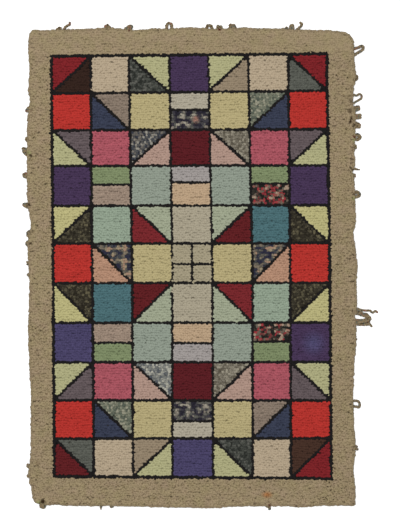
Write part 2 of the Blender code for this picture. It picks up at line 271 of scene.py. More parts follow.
# Each yarn's colours as they look in even light, from 0 to 255. A yarn of several colours is mottled.
YARNS = {
    "border": [(150, 134, 105)], "outline": [(28, 26, 26)], "crimson": [(120, 34, 38)],
    "garnet": [(114, 38, 42)], "maroon": [(92, 30, 33)], "wine": [(86, 28, 33)],
    "scarlet": [(172, 50, 44)], "bitter": [(49, 33, 27)], "brown": [(67, 46, 37)],
    "oatmeal": [(172, 156, 132)], "lime": [(166, 164, 124)], "straw": [(176, 170, 121)],
    "khaki": [(172, 160, 118)], "cream": [(165, 158, 141)], "purple": [(67, 51, 79)],
    "indigo": [(71, 65, 98)], "navy": [(54, 59, 76)], "teal": [(72, 104, 109)],
    "taupe": [(141, 126, 105)], "stone": [(129, 115, 102)], "slate": [(86, 88, 81)],
    "mauve": [(95, 84, 86)], "rose": [(160, 82, 92)], "blush": [(166, 139, 126)],
    "leaf": [(120, 132, 97)], "clay": [(148, 130, 115)], "mist": [(138, 147, 134)],
    "lilac": [(152, 146, 143)], "peach": [(176, 152, 124)], "mint": [(139, 153, 135)],
    "sage": [(152, 158, 135)], "greige": [(161, 153, 133)], "dove": [(156, 147, 123)],
    "salmon": [(170, 133, 110)],
    "charcoal": [(42, 44, 40), (50, 52, 48), (58, 60, 56), (66, 68, 62), (76, 78, 72), (88, 88, 82)],
    "bark": [(40, 36, 28), (44, 40, 32), (54, 50, 40), (58, 54, 44), (70, 66, 52), (92, 86, 66)],
    "pepper": [
        (88, 82, 70), (104, 98, 86), (112, 106, 94), (122, 116, 102), (132, 126, 112), (146, 140, 124),
    ],
    "moss": [
        (80, 86, 76), (96, 102, 88), (104, 108, 94), (112, 114, 98), (124, 126, 108), (144, 142, 124),
    ],
    "storm": [
        (46, 48, 57), (58, 61, 68), (70, 73, 76), (82, 81, 78), (96, 90, 84), (114, 109, 100),
        (142, 138, 128),
    ],
    "gale": [
        (76, 80, 86), (104, 106, 104), (112, 114, 110), (128, 128, 122), (144, 144, 134), (166, 164, 152),
    ],
    "night": [
        (36, 34, 43), (38, 36, 45), (44, 40, 50), (58, 56, 62), (64, 62, 64), (84, 84, 78), (92, 90, 84),
        (116, 110, 100), (124, 116, 106), (146, 140, 126),
    ],
    "ember": [
        (30, 30, 28), (32, 34, 30), (34, 34, 32), (52, 48, 42), (66, 60, 52), (118, 46, 50), (150, 50, 56),
        (100, 92, 80), (92, 88, 78), (132, 76, 66), (154, 134, 116),
    ],
    "dusk": [
        (42, 42, 58), (44, 44, 60), (48, 48, 58), (62, 64, 68), (66, 66, 68), (84, 82, 76), (92, 88, 78),
        (108, 98, 86), (120, 110, 94), (148, 136, 110), (150, 122, 102),
    ],
}

# How large the flecks of a mottled yarn are, along and across in millimetres, how much chance is in them from
# loop to loop, and how much the colour varies within a loop
FLECKS = {
    "charcoal": (9, 6, 0.12, 0.6), "bark": (2, 2, 0.1, 0.9), "pepper": (2, 2, 0.1, 1),
    "moss": (5, 4, 0.14, 0.5), "storm": (3.5, 3, 0.14, 0.6), "gale": (3.5, 3, 0.14, 0.6),
    "night": (15, 9, 0.06, 0.2), "ember": (12, 8, 0.07, 0.2), "dusk": (14, 11, 0.06, 0.2),
}
FLECK_CONTRAST = 1.2

# How uneven a plain yarn's tone is from loop to loop, where that is more than usual
UNEVEN_TONES = {
    "slate": 0.17, "mauve": 0.16, "stone": 0.16, "clay": 0.15, "rose": 0.13, "navy": 0.15, "purple": 0.14,
    "indigo": 0.14, "teal": 0.13, "scarlet": 0.11, "crimson": 0.1, "leaf": 0.1, "salmon": 0.1, "mint": 0.08,
}
USUAL_TONES = 0.05

# A blotch of another colour in a patch: its place, reach, strength and colour, and how it is broken up
BLOTCHES = {
    "purple": {
        "at": (316.5, -197), "reach": 42, "strength": 0.7, "colour": (78, 76, 112), "grain": 12,
        "spread": (0.8, 1.2),
    },
    "night": {
        "at": (11, 383.5), "reach": 14, "strength": 1.2, "colour": (154, 112, 98), "grain": 4.5,
        "spread": (-0.8, 2),
    },
}
TWIST_LENGTH = 1.8 * MM
MOTTLED_TONES = 0.04
BORDER_TONES = 0.1

# The wool's surface: its fibres, and painted shade between the loops: how much of its colour a loop keeps at
# each part of the depth
FIBRE_SIZE = 0.7 * MM
FIBRE_BUMP = 0.45 * MM
DEPTH_SPAN = 10 * MM
PAINTED_SHADE_STOPS = [(0.03, 0.9), (0.15, 0.6), (0.55, 0.78), (0.82, 1.0)]

# The border's wool: its two casts, its rust stain, its green tinge, its specks and its dirt. Specks show
# where their noise rises between two levels. Below and above give a place along the rug, in metres, and how
# strong the specks are there. They fade from one place to the other.
BORDER_CASTS = [(148, 134, 102), (151, 133, 108)]
CAST_SIZE = 24 * MM
CAST_SPREAD = (-0.6, 1.6)
STAIN = {"at": (196 * MM, -589.5 * MM), "reach": 20 * MM, "squash": 1.6, "strength": 0.85}
STAIN_COLOUR = (158, 100, 52)
GREEN_COLOUR = (138, 144, 92)
GREEN_STRENGTH = 0.7
SPECK_SIZE = 3.4 * MM
SPECK_LEVELS = (0.57, 0.68)
SPECK_COLOUR = (90, 70, 46)
SPECKS_BELOW = (0.5, 0.75)
SPECKS_ABOVE = (0.58, 0.4)
DIRT_SIZE = 3 * MM
DIRT_SPREAD = (0.1, 1.6)
DARK_DIRT = (48, 34, 18)
RED_DIRT = (74, 26, 20)

# The foundation's sacking, and the loose yarn with its stains and the dark brown of its painted crease shade,
# as (size, least noise, strength, colour)
SACKING_LIGHT = (150, 128, 94)
SACKING_DARK = (96, 78, 52)
# The sacking's upper side: painted shade under the pile, with some dust and fibres
SACKING_SHADED_TOP = (96, 82, 60)
SACKING_BLEND = 9 * MM
STRAND_DULL = (112, 96, 70)
STRAND_PALE = (150, 135, 108)
STRAND_SHEEN = (118, 102, 76)
STRAND_SPREAD = (-0.7, 1.3)
STRAND_BLEND = 5 * MM
STRAND_STAINS_AND_SHADE = [
    (6 * MM, 0.55, 0.8, (85, 95, 90)), (4 * MM, 0.56, 0.9, (56, 42, 28)), (9 * MM, 0.64, 0.7, (132, 80, 70)),
]
STAIN_AND_SHADE_FADE = 0.08

# The studio: lamps as (place, size, power), the white surround, the floor, and how bright its light is
LAMPS = {"overhead": ((0, -0.2, 4.5), 3.5, 190), "key": ((-1.8, 2.4, 2.6), 1.2, 40)}
SURROUND_STRENGTH = 0.55
FLOOR_REACH = 6
FLOOR_LEVEL = 0.93
LIGHT_LEVEL = 1.28

# The loose strips of edging yarn, and where each is rooted in the edge row
STRAND_HEIGHT = 4.2 * MM
STRAND_SIDES = 10
STRAND_STEP = 0.9 * MM
BACKING_OUT = 2.6
ROOT_REACH = 7 * MM
ROOT_LIFT = 1.6 * MM
ROOT_GAP = 0.45 * MM
NEAR_RIM = [step * MM for step in (-9, -6, -3, 0, 3, 6, 9)]
STRAND_FULL = 1.2
KNOB = 0.4
KNOB_LENGTH = 3.2 * MM
TAPER = 2.2 * MM
TAPER_SHARE = 0.6
TIP_RUN = 1.6 * MM
LEAST_END = 0.05
KNOB_SEED = 7.3

# A lump is a few short strips side by side, each this wide or a little over, and uneven in length
CLUMP_PITCH = 5.5
CLUMP_CROWD = 1.5
CLUMP_LONG = 1.22
CLUMP_UNEVEN = 0.42
CLUMP_BEND = 1.6
CLUMP_LIFT = 1.2 * MM

# Each loose end's place along its side, and its strands as (width, tip, route), in millimetres. A route's
# points are (along the side from the place, out from the rim), much as in the CAD model. A strand has no tip.
# A lump narrows to its tip, which is a part of its width.
LOOSE_YARN = {
    "loose_top_1": (
        -330, [(5.6, None, [(-1.5, 0), (1.5, 5), (6.5, 9), (11.5, 11), (14, 14.5), (13, 18)])],
    ),
    "loose_top_2": (-164, [(18, 0.4, [(-0.5, 0), (2, 5), (4.5, 10)])]),
    "loose_top_3": (
        -58, [(6.6, None, [(-6.5, 0), (-7, 6), (-4, 11.5), (2.5, 12.5), (6.3, 8), (5.5, 0)])],
    ),
    "loose_top_4": (47, [(6.8, None, [(-7.4, 0), (-6.2, 5.4), (-0.5, 8.6), (5, 5.4), (6, 0)])]),
    "loose_top_5": (107, [(18, 0.8, [(0, 0), (-0.5, 5), (-0.5, 10)])]),
    "loose_top_6": (281, [(5.6, None, [(-6.5, 0), (-1, 5), (4.5, 10), (5, 15.5), (0.5, 18.5)])]),
    "loose_right_1": (
        560,
        [
            (
                6.4,
                None,
                [(8, 0), (10, 6), (12, 13), (15.5, 18.5), (12, 24), (5, 22), (0, 14), (-4, 7), (-8, 0)],
            ),
        ],
    ),
    "loose_right_2": (
        438,
        [
            (
                4.8,
                None,
                [(11, 0), (9, 5), (9, 10), (12.5, 15.5), (9, 21), (1, 20), (-4, 13), (-8, 6), (-12, 0)],
            ),
        ],
    ),
    "loose_right_3": (
        391,
        [
            (12, 0.7, [(21.5, 2.6), (21.5, 7), (20.5, 13)]),
            (11.5, 0.7, [(0.5, 2.6), (0.5, 6), (0, 11)]),
            (15, 0.7, [(-21.5, 2.6), (-21.5, 6), (-23, 10)]),
        ],
    ),
    "loose_right_4": (339, [(7.8, None, [(4.8, 0), (5.2, 6.5), (-0.4, 11), (-6, 6.5), (-5.6, 0)])]),
    "loose_right_5": (
        187, [(8, None, [(8, 0), (8.5, 5), (6.5, 9), (2.5, 11), (-1.5, 9), (-3, 5), (-3, 0)])],
    ),
    "loose_right_6": (
        -126,
        [
            (4.8, None, [(18, 2.6), (15.5, 11), (14, 22), (13.5, 34), (8.5, 41), (12.5, 48), (9, 54)]),
            (9.5, None, [(7, 2.6), (6, 9), (3.5, 16.5), (0.5, 25), (-5.5, 32), (-13, 33.5)]),
            (4.6, None, [(-14, 28), (-21, 34.5), (-28, 40.5)]),
            (15, 0.8, [(-17, 2.6), (-17, 8), (-17, 18), (-16, 29)]),
            (15, 0.6, [(13, 0), (11, 5), (9, 13)]),
        ],
    ),
    "loose_right_7": (
        -355, [(5.6, None, [(8, 0), (8.5, 8), (6, 14), (-1, 16.5), (-8, 14), (-7, 7), (-6, 0)])],
    ),
    "loose_left_1": (300, [(18, 0.4, [(-1, 0), (1, 5), (3, 10.5)])]),
    "loose_left_2": (162, [(14, 0.5, [(-1.5, 0), (-0.5, 5), (0.5, 10.5)])]),
}

# Small lumps of the edge row that are too slight for the CAD model, in millimetres: (place, width, the tip's
# part of it, how far out it reaches, how far along its tip leans)
TUFTS = {
    "top": [
        (-345, 14, 0.4, 6, 4), (-218, 16, 0.3, 7, -4), (72, 13, 0.6, 9, 0), (247, 8, 0.5, 4, 0),
        (260, 12, 0.7, 12, 0.5),
    ],
    "right": [
        (493, 13, 0.6, 4.5, 0), (313, 11, 0.6, 3.5, 0), (256, 5, 0.9, 11, -3), (239, 9, 0.6, 4, 0),
        (-187, 5, 0.6, 2, 0), (-468, 10, 0.6, 5, 0),
    ],
    "bottom": [
        (-386, 17, 0.3, 10, -2), (-235, 5, 0.9, 7.5, 0), (-207, 8, 0.4, 3, 0), (197, 8, 0.6, 3, 0),
        (203, 5, 0.9, 8, 0),
    ],
    "left": [
        (410, 12, 0.7, 2.5, 0), (333, 11, 0.7, 3, 0), (239, 13, 0.45, 9.5, 0), (88, 16, 0.6, 4, 0),
        (62, 14, 0.6, 3, 0), (11, 8, 0.6, 3, 0), (-19, 8, 0.7, 4, 0), (-516, 9, 0.6, 4, 0),
        (-542, 8, 0.6, 3, 0),
    ],
}


def bulge(side, along):
    """How far the rim stands out from the side's straight line, at a place along it."""
    stations = [(place * MM, out * MM) for place, out in SIDE_BULGE[side]]
    if along <= stations[0][0]:
        return stations[0][1]
    for (start, start_out), (end, end_out) in zip(stations, stations[1:]):
        if along <= end:
            t = (along - start) / (end - start)
            return start_out + (end_out - start_out) * t * t * (3 - 2 * t)
    return stations[-1][1]


def notch(side, along):
    """How far a hole in the rim reaches in, at a place along a side."""
    for place, half, depth in NOTCHES.get(side, []):
        if abs(along - place * MM) < half * MM:
            return depth * MM
    return 0


def ripple(point):
    """The small in and out of the rim where single loops stand proud."""
    return RIPPLE_DEPTH * noise.noise(Vector((point.x, point.y, 0)) / RIPPLE_LENGTH)


def rim_point(side, along, inset):
    """A point on a side of the rim, as far in from its widest line as the inset says."""
    facts = SIDES[side]
    straight = facts["out"] * facts["reach"] + facts["along"] * along
    return straight + facts["out"] * (bulge(side, along) - notch(side, along) + ripple(straight) - inset)


def corner_facts(corner, inset):
    """A corner's radius and centre, both drawn in by an inset."""
    radius = max(corner["radius"] - inset, LEAST_RADIUS)
    reach = radius + inset
    return radius, Vector((corner["x"] * (HALF_WIDTH - reach), corner["y"] * (HALF_LENGTH - reach)))


def corner_points(corner, inset):
    """Rim points round a corner, between the ends of its two sides."""
    radius, centre = corner_facts(corner, inset)
    first, last = SIDES[corner["before"]], SIDES[corner["after"]]
    first_out = bulge(corner["before"], centre.dot(first["along"]))
    last_out = bulge(corner["after"], centre.dot(last["along"]))
    count = max(3, round(corner["radius"] * math.pi / 2 / RIM_STEP))
    points = []
    for i in range(1, count):
        turn = i / count * math.pi / 2
        across = first["out"] * math.cos(turn) + last["out"] * math.sin(turn)
        bulged = first["out"] * first_out * math.cos(turn) + last["out"] * last_out * math.sin(turn)
        points.append(centre + across * radius + bulged)
    return points


def side_points(side, start, end, inset):
    """Rim points along a side, from one place to another."""
    count = round(abs(end - start) / RIM_STEP)
    return [rim_point(side, start + (end - start) * i / count, inset) for i in range(count + 1)]


def rim_outline(inset):
    """The rug's outline seen from above, counter-clockwise from the bottom right corner."""
    outline = []
    for corner, following in zip(CORNERS, CORNERS[1:] + CORNERS[:1]):
        side = corner["after"]
        centres = [corner_facts(facts, inset)[1] for facts in (corner, following)]
        start, end = (centre.dot(SIDES[side]["along"]) for centre in centres)
        outline += corner_points(corner, inset)
        outline += side_points(side, start, end, inset)
    return outline


def smooth_noise(x, y, length):
    """Smooth noise from -1 to 1 whose bumps are about this long."""
    return noise.noise(Vector((x, y, 0)) / length)


def upright_x(index, y):
    """Where an upright outline's middle lies at a height in the pattern."""
    top, middle, bottom = UPRIGHTS[index]["at"]
    end = top if y > 0 else bottom
    wander = OUTLINE_WANDER * smooth_noise(index, y, WANDER_LENGTH)
    return (middle + (end - middle) * abs(y) / FIELD_TOP) * MM + wander


def level_y(index, x):
    """Where a level outline's middle lies at a place across the pattern."""
    left, right = LEVELS[index]["at"]
    wander = OUTLINE_WANDER * smooth_noise(x, index, WANDER_LENGTH)
    return (left + (right - left) * (x + FIELD_SIDE) / (2 * FIELD_SIDE)) * MM + wander


def upright_half(index):
    """Half an upright outline's width."""
    return UPRIGHTS[index]["width"] * MM / 2


def level_half(index):
    """Half a level outline's width."""
    return LEVELS[index]["width"] * MM / 2


def is_skew(point):
    """Whether a place lies in the corner of the border where the rows run askew."""
    box = SKEW_BOX
    return box["left"] < point.x < box["right"] and box["bottom"] < point.y < box["top"]


def dirt(places, least):
    """How dirty the border is at each point: up to 1 in a dark spot, and down to -1 in a red one. Elsewhere
    it keeps the even darkening that least gives.
    """
    deepest = np.full(len(places), float(least))
    for x, y, radius, strength in SPOTS:
        away = np.hypot(places[:, 0] - x * MM, places[:, 1] - y * MM) / (radius * MM)
        here = strength * np.clip(SPOT_CORE * (1 - away), 0, 1)
        deepest = np.where(np.abs(here) > np.abs(deepest), here, deepest)
    return deepest


def piece_at(piece, point):
    """The piece that a loop belongs to, which is a pale one where a dark outline is broken."""
    if piece == "outline":
        for x, y, yarn in OUTLINE_GAPS:
            if math.hypot(point.x - x * MM, point.y - y * MM) < GAP_REACH:
                return yarn
    return piece


class Pile:
    """All loops of the rug, kept by the piece that they belong to."""

    def __init__(self, random):
        self.random = random
        self.loops = {}

    def lay_row(self, piece, stations, width, crown=LOOP_CROWN, lean=(0, 0), ragged=PILE_RAGGED):
        """Lays one loop between each station of a row and the next."""
        row_tone = self.random.random()
        for start, end in zip(stations, stations[1:]):
            run = end - start
            aside = Vector((-run.y, run.x)).normalized() * self.uneven(ragged["stray"])
            middle = (start + end) / 2 + aside
            angle = math.atan2(run.y, run.x) + self.uneven(ragged["turn"])
            length = run.length * ragged["full"]
            wide = width * ragged["full"] * (1 + self.uneven(ragged["widths"]))
            if piece.startswith("border") and is_skew(middle):
                angle += SKEW_TURN
                length *= SKEW_LENGTH
                wide *= SKEW_WIDTH
            tall = crown + SWELL_DEPTH * smooth_noise(middle.x, middle.y, SWELL_LENGTH)
            tone = row_tone * TONE_OF_ROW + self.random.random() * (1 - TONE_OF_ROW)
            loop = (middle.x, middle.y, angle, length, wide, tall, *lean, tone, self.shade(piece, middle))
            self.loops.setdefault(piece_at(piece, middle), []).append(loop)

    def shade(self, piece, middle):
        """Which of a mottled yarn's colours shows at a place, from 0 to 1."""
        if piece not in FLECKS:
            return 0
        along, across, chance, _ = FLECKS[piece]
        fleck = noise.noise(Vector((middle.x / (along * MM), middle.y / (across * MM), len(piece))))
        return 0.5 + FLECK_CONTRAST * fleck + self.uneven(chance)

    def uneven(self, spread):
        """A small chance amount, as often one way as the other."""
        return self.random.normal() * spread

    def places(self, start, end):
        """Where the loops of a row meet: evenly spaced, but for its first and its last loop."""
        pitch = (end - start) / max(1, round((end - start) / LOOP_PITCH))
        first = start + pitch * self.random.uniform(0.5, 1.5)
        return [start, *np.arange(first, end - pitch / 2, pitch), end]

    def fill(self, piece, middle, left, right, bottom, top, ragged=PILE_RAGGED):
        """Fills a patch with level rows. Its left and right are functions of y, its bottom and top of x."""
        low, high = bottom(middle), top(middle)
        count = max(1, round((high - low) / ROW_PITCH))
        for i in range(count):
            part = (i + 0.5) / count
            y = low + (high - low) * part
            start = left(y) + self.uneven(END_SPREAD)
            end = right(y) + self.uneven(END_SPREAD)
            if end - start > LEAST_ROW:
                wander = WANDER_DEPTH * 4 * part * (1 - part)
                stations = []
                for x in self.places(start, end):
                    level = bottom(x) + (top(x) - bottom(x)) * part
                    stations.append(Vector((x, level + wander * smooth_noise(x, y, WANDER_LENGTH))))
                self.lay_row(piece, stations, (high - low) / count, ragged=ragged)

    def line(self, start, end, width, at):
        """Hooks one row of an outline from start to end, where at turns a place along it into a point."""
        count = max(1, round((end - start) / OUTLINE_PITCH))
        stations = [at(place) for place in np.linspace(start, end, count + 1)]
        self.lay_row("outline", stations, width, ragged=OUTLINE_RAGGED)


def hook_outlines(pile):
    """The dark lines round and between all blocks."""
    for j, level in enumerate(LEVELS):
        start = upright_x(0, level_y(j, -FIELD_SIDE)) - upright_half(0)
        end = upright_x(7, level_y(j, FIELD_SIDE)) + upright_half(7)
        pile.line(start, end, level["width"] * MM, lambda x, j=j: Vector((x, level_y(j, x))))
    for i, upright in enumerate(UPRIGHTS):
        for j in range(len(LEVELS) - 1):
            x = upright_x(i, 0)
            start = level_y(j + 1, x) + level_half(j + 1)
            end = level_y(j, x) - level_half(j)
            pile.line(start, end, upright["width"] * MM, lambda y, i=i: Vector((upright_x(i, y), y)))


def block_sides(row, column):
    """A block's sides inside its outlines: functions for left and right of y, and for bottom and top of x."""
    return {
        "left": lambda y: upright_x(column, y) + upright_half(column),
        "right": lambda y: upright_x(column + 1, y) - upright_half(column + 1),
        "bottom": lambda x: level_y(row + 1, x) + level_half(row + 1),
        "top": lambda x: level_y(row, x) - level_half(row),
    }


def hook_block(pile, row, column, block):
    """One block of the pattern, with the outline that splits it."""
    sides = block_sides(row, column)
    middle_y = (level_y(row, 0) + level_y(row + 1, 0)) / 2
    middle = (sides["left"](middle_y) + sides["right"](middle_y)) / 2
    if isinstance(block, str):
        pile.fill(block, middle, **sides)
    elif block[0] in "/\\":
        hook_slope(pile, middle, middle_y, sides, block)
    elif block[0] == "=":
        hook_split(pile, middle, middle_y, sides, block)
    else:
        hook_cross(pile, middle, middle_y, sides, block)


def hook_slope(pile, middle, middle_y, sides, block):
    """A block split from corner to corner."""
    rises = block[0] == "/"
    low, high = sides["bottom"](middle), sides["top"](middle)
    left, right = sides["left"](middle_y), sides["right"](middle_y)
    start, end = (left, right) if rises else (right, left)
    wander = OUTLINE_WANDER * SLOPE_WANDER

    def slope_x(y):
        """Where the slope's middle lies at a height."""
        aside = wander * smooth_noise(start, y, WANDER_LENGTH)
        return start + (end - start) * (y - low) / (high - low) + aside

    reach = SLOPE_WIDTH / 2 * math.hypot(1, (end - start) / (high - low))
    west, east = {"right": lambda y: slope_x(y) - reach}, {"left": lambda y: slope_x(y) + reach}
    above, below = (west, east) if rises else (east, west)
    pile.fill(block[1], middle, **{**sides, **above})
    pile.fill(block[2], middle, **{**sides, **below})
    count = round(math.hypot(end - start, high - low) / OUTLINE_PITCH)
    heights = np.linspace(low, high, count + 1)
    pile.lay_row("outline", [Vector((slope_x(y), y)) for y in heights], SLOPE_WIDTH, ragged=OUTLINE_RAGGED)


def hook_split(pile, middle, middle_y, sides, block):
    """A block split level across its middle."""
    height = middle_y + block[3] * MM

    def split_y(x):
        """Where the split's middle lies at a place across the block."""
        return height + OUTLINE_WANDER * smooth_noise(x, height, WANDER_LENGTH)

    pile.fill(block[1], middle, **{**sides, "bottom": lambda x: split_y(x) + SPLIT_WIDTH / 2})
    pile.fill(block[2], middle, **{**sides, "top": lambda x: split_y(x) - SPLIT_WIDTH / 2})
    pile.line(
        sides["left"](middle_y), sides["right"](middle_y), SPLIT_WIDTH, lambda x: Vector((x, split_y(x)))
    )


def hook_cross(pile, middle, middle_y, sides, block):
    """A block of four small squares."""
    half = CROSS_WIDTH / 2
    middle_y += block[2] * MM
    beside = [{"right": lambda y: middle - half}, {"left": lambda y: middle + half}]
    over = [{"top": lambda x: middle_y - half}, {"bottom": lambda x: middle_y + half}]
    for across in beside:
        for up in over:
            pile.fill(block[1], middle, **{**sides, **across, **up})
    pile.line(
        sides["left"](middle_y), sides["right"](middle_y), CROSS_WIDTH, lambda x: Vector((x, middle_y))
    )
    pile.line(sides["bottom"](middle), middle_y - half, CROSS_WIDTH, lambda y: Vector((middle, y)))
    pile.line(middle_y + half, sides["top"](middle), CROSS_WIDTH, lambda y: Vector((middle, y)))


def rim_x(side, y):
    """The border's outer end on the left or right side."""
    return rim_point(side, y, BORDER_INSET).x


def rim_y(side, x):
    """The border's outer end on the top or bottom side."""
    return rim_point(side, x, BORDER_INSET).y


def field_edge(index, x):
    """The outer side of the pattern's top or bottom outline, run on across the border."""
    outward = 1 if index == 0 else -1
    return level_y(index, x) + outward * level_half(index)


def hook_border(pile):
    """The plain border: level rows on all four sides."""
    last = len(LEVELS) - 1
    across = {"left": lambda y: rim_x("left", y), "right": lambda y: rim_x("right", y)}
    over = {"bottom": lambda x: field_edge(0, x), "top": lambda x: rim_y("top", x)}
    under = {"bottom": lambda x: rim_y("bottom", x), "top": lambda x: field_edge(last, x)}
    beside = {"bottom": lambda x: field_edge(last, x), "top": lambda x: field_edge(0, x)}
    before = {"left": across["left"], "right": lambda y: upright_x(0, y) - upright_half(0)}
    after = {"left": lambda y: upright_x(7, y) + upright_half(7), "right": across["right"]}
    pile.fill("border_top", 0, **across, **over, ragged=BORDER_RAGGED)
    pile.fill("border_bottom", 0, **across, **under, ragged=WORN_RAGGED)
    pile.fill("border_left", -FIELD_SIDE, **before, **beside, ragged=WORN_RAGGED)
    pile.fill("border_right", FIELD_SIDE, **after, **beside, ragged=WORN_RAGGED)


def is_beyond(loop, corner):
    """Whether a loop lies outside the rounded end of a corner, which the sides' bulges draw in or out."""
    radius, centre = corner_facts(corner, CLIP_INSET)
    across, along = (loop[0] - centre.x) * corner["x"], (loop[1] - centre.y) * corner["y"]
    if min(across, along) <= 0:
        return False
    reach = {}
    for side in (corner["before"], corner["after"]):
        way = "across" if side in ("left", "right") else "along"
        reach[way] = max(radius + bulge(side, centre.dot(SIDES[side]["along"])), LEAST_RADIUS)
    return math.hypot(across / reach["across"], along / reach["along"]) > 1


def clip_corners(pile):
    """Leaves out border loops that lie beyond the rim's rounded corners."""
    for piece in ("border_top", "border_bottom"):
        loops = pile.loops[piece]
        pile.loops[piece] = [loop for loop in loops if not any(is_beyond(loop, corner) for corner in CORNERS)]


def even_stations(outline, pitch):
    """Points at an even pitch round a closed outline."""
    closed = np.array(outline + outline[:1])
    places = np.concatenate([[0], np.cumsum(np.linalg.norm(np.diff(closed, axis=0), axis=1))])
    even = np.linspace(0, places[-1], round(places[-1] / pitch) + 1)
    return [Vector((np.interp(at, places, closed[:, 0]), np.interp(at, places, closed[:, 1]))) for at in even]


def hook_edge(pile):
    """The last row, round the whole rim, whose loops lean outwards."""
    stations = even_stations([tuple(point) for point in rim_outline(EDGE_INSET)], LOOP_PITCH)
    pile.lay_row("border_edge", stations, EDGE_WIDTH, EDGE_CROWN, (0, -EDGE_LEAN), EDGE_RAGGED)


def loop_corners():
    """A loop's corners as (along, across, up), and its triangles, outward."""
    back = [(along * BACK_REACH, across * BACK_REACH, 0) for along, across in SHOULDER]
    shoulder = [(along, across, SHOULDER_UP) for along, across in SHOULDER]
    ridge = [(RIDGE_REACH, 0, 1), (-RIDGE_REACH, 0, 1)]
    front, rear = 12, 13
    triangles = [(0, 2, 1), (0, 3, 2), (0, 5, 3), (3, 5, 4)]
    for i in range(6):
        j = (i + 1) % 6
        triangles += [(i, j, 6 + j), (i, 6 + j, 6 + i)]
    triangles += [(11, 6, front), (6, 7, front), (7, rear, front), (7, 8, rear)]
    triangles += [(8, 9, rear), (9, 10, rear), (10, front, rear), (10, 11, front)]
    return np.array(back + shoulder + ridge), np.array(triangles)


def loop_map():
    """Where a loop's triangles lie in its own square of the texture, its back in a corner of it."""
    corners, triangles = loop_corners()
    flat = np.zeros((len(corners), 2))
    flat[0:6] = np.array(SHOULDER) * MAP_SKIRT
    flat[6:12] = np.array(SHOULDER) * MAP_CROWN
    flat[12:14] = corners[12:14, :2] * MAP_CROWN
    flat = flat * MAP_SHAPE + MAP_MIDDLE
    back = np.array(SHOULDER) * MAP_BACK + MAP_BACK_MIDDLE
    places = flat[triangles]
    places[:4] = back[triangles[:4]]
    return places


def build_loops(name, loops, random):
    """One mesh of many loops, with their tones and shades as attributes, and a square of texture for each."""
    facts = np.array(loops)
    count = len(facts)
    corners, triangles = loop_corners()
    half_length = facts[:, 3] / 2 * CROWD_ALONG * (1 + random.normal(size=count) * LENGTH_SPREAD)
    half_width = facts[:, 4] / 2 * CROWD_ACROSS
    tall = facts[:, 5] - LOOP_BACK + random.normal(size=count) * CROWN_SPREAD
    lean = facts[:, 6:8] + random.normal(size=(count, 2)) * LEAN_SPREAD
    up = corners[None, :, 2]
    along = corners[None, :, 0] * half_length[:, None] + lean[:, :1] * up
    across = corners[None, :, 1] * half_width[:, None] + lean[:, 1:] * up
    cos, sin = np.cos(facts[:, 2])[:, None], np.sin(facts[:, 2])[:, None]
    places = np.stack(
        [
            facts[:, :1] + along * cos - across * sin,
            facts[:, 1:2] + along * sin + across * cos,
            LOOP_BACK + up * tall[:, None],
        ],
        axis=2,
    )
    places += random.normal(size=places.shape) * CORNER_SPREAD * (up > 0)[:, :, None]
    faces = triangles[None] + (np.arange(count) * len(corners))[:, None, None]
    mesh = bpy.data.meshes.new(name)
    mesh.from_pydata(places.reshape(-1, 3), [], faces.reshape(-1, 3))
    mesh.shade_smooth()
    is_back = np.tile(np.arange(len(triangles)) < 4, count)
    mesh.attributes.new("sharp_face", "BOOLEAN", "FACE").data.foreach_set("value", is_back)
    tone, shade = (np.repeat(facts[:, column], len(corners)) for column in (8, 9))
    if name.startswith("pile_border"):
        shade = dirt(places.reshape(-1, 3), EDGE_DARKENING if name == "pile_border_edge" else 0)
    for attribute, values in (("tone", tone), ("shade", shade)):
        mesh.attributes.new(attribute, "FLOAT", "POINT").data.foreach_set("value", values.astype(np.float32))
    add_texture_squares(mesh, count)
    return mesh


def add_texture_squares(mesh, count):
    """Gives each loop of a mesh its own square in the texture map."""
    across = math.ceil(math.sqrt(count))
    index = np.arange(count)
    squares = np.stack([index % across, index // across], axis=1)
    down = math.ceil(count / across)
    places = (loop_map()[None] + squares[:, None, None, :]) / (across, down)
    layer = mesh.uv_layers.new(name="OFBake")
    layer.uv.foreach_set("vector", places.astype(np.float32).ravel())


